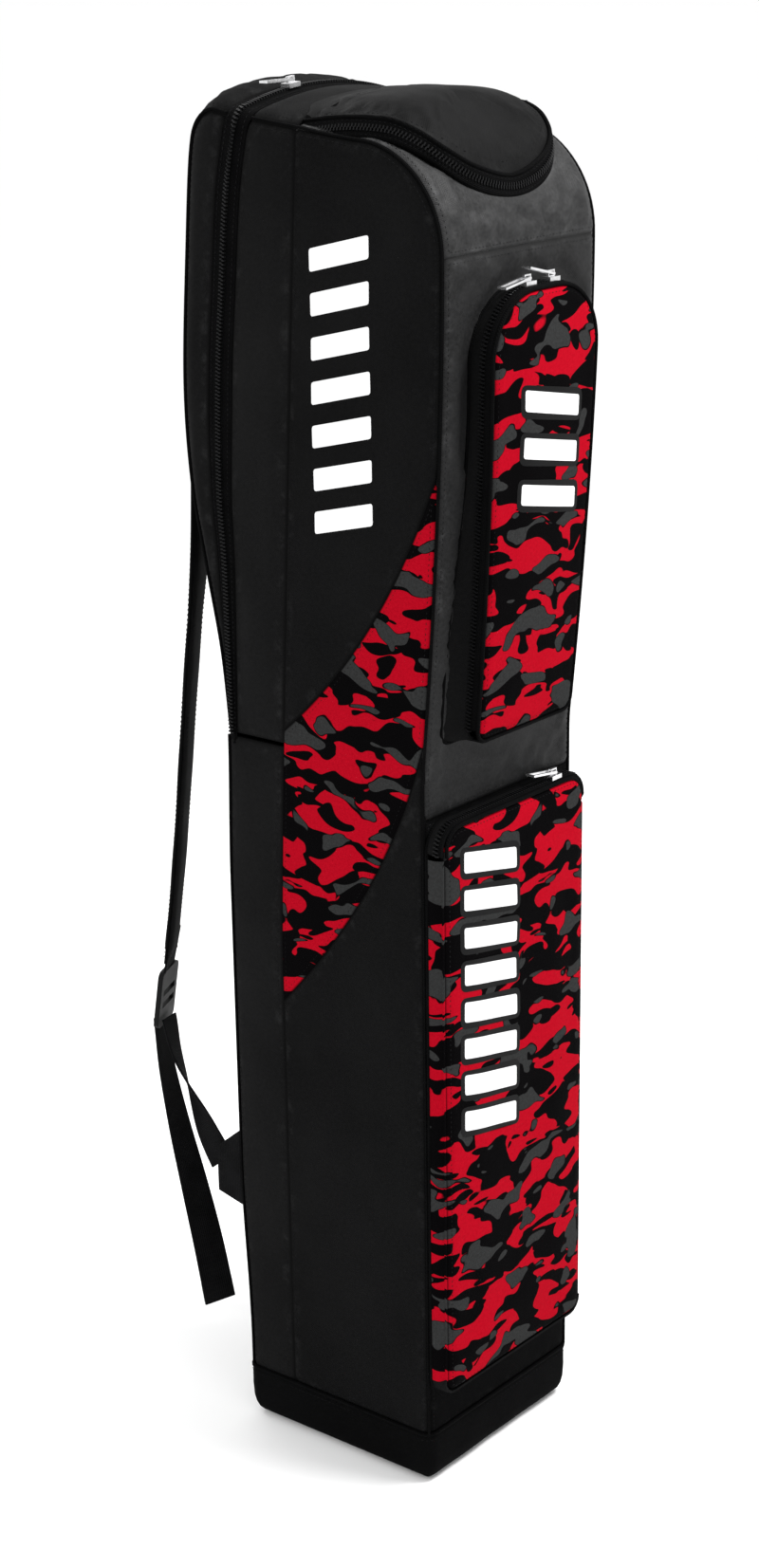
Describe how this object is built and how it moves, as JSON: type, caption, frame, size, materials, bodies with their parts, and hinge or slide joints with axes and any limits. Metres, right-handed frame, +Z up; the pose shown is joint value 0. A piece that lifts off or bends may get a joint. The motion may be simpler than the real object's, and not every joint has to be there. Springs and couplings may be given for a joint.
{
  "type": "field hockey stick bag",
  "caption": "Tall upright stick bag with a domed zipped lid, front pockets, a zipped rear compartment, camouflage panels and adjustable shoulder straps.",
  "frame": {"origin": "centre of the flat base that the bag stands on", "axes": "+Z up along the bag, -Y towards the pockets at the front, +Y towards the shoulder straps, +X to the right seen from the front"},
  "size_m": [0.1735, 0.316, 0.9853],
  "materials": {
    "black_fabric": "matt coated polyester, fine weave",
    "dark_fabric": "matt coated polyester, fine weave",
    "grey_fabric": "lighter grey coated polyester, soft sheen",
    "camo_fabric": "printed polyester, blotches of red, black and dark grey",
    "zip_tape": "black zip tape and piping",
    "webbing": "ribbed black webbing",
    "strap_fabric": "padded strap cover, matt black",
    "stiffener_board": "plain plastic sheet",
    "buckle_plastic": "moulded acetal, satin",
    "zip_metal": "nickel-plated, bright"
  },
  "bodies": {
    "bag": {"base_cap": "black_fabric", "base_board": "stiffener_board", "side_lower_left": "black_fabric", "side_lower_right": "black_fabric", "side_band_left": "camo_fabric", "side_band_right": "camo_fabric", "side_upper_left": "black_fabric", "side_upper_right": "black_fabric", "rear_gusset_lower_left": "black_fabric", "rear_gusset_lower_right": "black_fabric", "rear_gusset_upper_left": "dark_fabric", "rear_gusset_upper_right": "dark_fabric", "rear_gusset_top": "dark_fabric", "front_lower_panel": "black_fabric", "front_upper_panel": "grey_fabric", "front_yoke": "grey_fabric", "back_panel": "black_fabric", "rear_zip_tape_body": "zip_tape", "lid_collar": "zip_tape", "upper_pocket_gusset": "zip_tape", "lower_pocket_gusset": "zip_tape", "strap_anchor_lower_left": "webbing", "strap_anchor_lower_right": "webbing"},
    "lid": {"lid_panel": "dark_fabric", "lid_skirt": "zip_tape"},
    "rear_shell": {"rear_shell_back": "dark_fabric", "rear_shell_side_left": "dark_fabric", "rear_shell_side_right": "dark_fabric", "rear_zip_tape_shell": "zip_tape", "strap_anchor_upper_left": "webbing", "strap_anchor_upper_right": "webbing"},
    "upper_pocket": {"upper_pocket_front": "camo_fabric", "upper_pocket_rim": "zip_tape"},
    "lower_pocket": {"lower_pocket_front": "camo_fabric", "lower_pocket_rim": "zip_tape"},
    "strap_left": {"strap_pad_left": "strap_fabric", "ladder_lock_left": "buckle_plastic", "strap_web_left": "webbing", "strap_tail_left": "webbing"},
    "strap_right": {"strap_pad_right": "strap_fabric", "ladder_lock_right": "buckle_plastic", "strap_web_right": "webbing", "strap_tail_right": "webbing"},
    "rear_zip_slider": {"rear_zip_slider": "zip_metal"},
    "rear_zip_pull": {"rear_zip_pull": "zip_metal"},
    "lid_zip_slider": {"lid_zip_slider": "zip_metal"},
    "lid_zip_pull": {"lid_zip_pull": "zip_metal"},
    "upper_pocket_zip_left_slider": {"upper_pocket_zip_left_slider": "zip_metal"},
    "upper_pocket_zip_left_pull": {"upper_pocket_zip_left_pull": "zip_metal"},
    "upper_pocket_zip_right_slider": {"upper_pocket_zip_right_slider": "zip_metal"},
    "upper_pocket_zip_right_pull": {"upper_pocket_zip_right_pull": "zip_metal"},
    "lower_pocket_zip_slider": {"lower_pocket_zip_slider": "zip_metal"},
    "lower_pocket_zip_pull": {"lower_pocket_zip_pull": "zip_metal"}
  },
  "joints": [
    {"name": "lid_hinge", "type": "hinge", "parent": "bag", "child": "lid", "pos_m": [0, 0.012, 0.977], "axis": [-1, 0, 0], "range_deg": [0, 110]},
    {"name": "rear_shell_hinge", "type": "hinge", "parent": "bag", "child": "rear_shell", "pos_m": [0, 0.087, 0.538], "axis": [-1, 0, 0], "range_deg": [0, 20]},
    {"name": "upper_pocket_hinge", "type": "hinge", "parent": "bag", "child": "upper_pocket", "pos_m": [0, -0.1035, 0.556], "axis": [1, 0, 0], "range_deg": [0, 95]},
    {"name": "lower_pocket_hinge", "type": "hinge", "parent": "bag", "child": "lower_pocket", "pos_m": [0, -0.103, 0.075], "axis": [1, 0, 0], "range_deg": [0, 5]},
    {"name": "strap_left_sway", "type": "hinge", "parent": "bag", "child": "strap_left", "pos_m": [-0.0792, 0.1, 0.205], "axis": [-1, 0, 0], "range_deg": [0, 9.5]},
    {"name": "strap_right_sway", "type": "hinge", "parent": "bag", "child": "strap_right", "pos_m": [0.0792, 0.1, 0.205], "axis": [-1, 0, 0], "range_deg": [0, 9.5]},
    {"name": "rear_zip_run", "type": "hinge", "parent": "bag", "child": "rear_zip_slider", "pos_m": [0, 0.0595, 0.69437], "axis": [0, 1, 0], "range_deg": [-8.2, 18.2]},
    {"name": "lid_zip_slide", "type": "slide", "parent": "bag", "child": "lid_zip_slider", "axis": [0, -0.9943, -0.1064], "range_m": [-0.024, 0.014]},
    {"name": "upper_pocket_zip_left_run", "type": "hinge", "parent": "bag", "child": "upper_pocket_zip_left_slider", "pos_m": [-0.013, -0.1209, 0.813], "axis": [0, -1, 0], "range_deg": [0, 85]},
    {"name": "upper_pocket_zip_right_run", "type": "hinge", "parent": "bag", "child": "upper_pocket_zip_right_slider", "pos_m": [0.013, -0.1209, 0.813], "axis": [0, 1, 0], "range_deg": [0, 85]},
    {"name": "lower_pocket_zip_slide", "type": "slide", "parent": "bag", "child": "lower_pocket_zip_slider", "axis": [-1, 0, 0], "range_m": [-0.008, 0.108]},
    {"name": "rear_zip_pull_hinge", "type": "hinge", "parent": "rear_zip_slider", "child": "rear_zip_pull", "pos_m": [-0.03052, 0.0595, 0.98264], "axis": [0, 1, 0], "range_deg": [-6, 155]},
    {"name": "lid_zip_pull_hinge", "type": "hinge", "parent": "lid_zip_slider", "child": "lid_zip_pull", "pos_m": [0.0845, -0.022, 0.96135], "axis": [0, 0, 1], "range_deg": [-6, 165]},
    {"name": "upper_pocket_zip_left_pull_hinge", "type": "hinge", "parent": "upper_pocket_zip_left_slider", "child": "upper_pocket_zip_left_pull", "pos_m": [-0.013, -0.1208, 0.8635], "axis": [0, 1, 0], "range_deg": [-2, 66]},
    {"name": "upper_pocket_zip_right_pull_hinge", "type": "hinge", "parent": "upper_pocket_zip_right_slider", "child": "upper_pocket_zip_right_pull", "pos_m": [0.013, -0.1208, 0.8635], "axis": [0, 1, 0], "range_deg": [-4, 120]},
    {"name": "lower_pocket_zip_pull_hinge", "type": "hinge", "parent": "lower_pocket_zip_slider", "child": "lower_pocket_zip_pull", "pos_m": [0.05, -0.09717, 0.5105], "axis": [0, 1, 0], "range_deg": [-8, 150]}
  ],
  "couplings": [
    {"joint": "strap_left_sway", "follows": "rear_shell_hinge", "ratio": 0.47},
    {"joint": "strap_right_sway", "follows": "rear_shell_hinge", "ratio": 0.47}
  ]
}
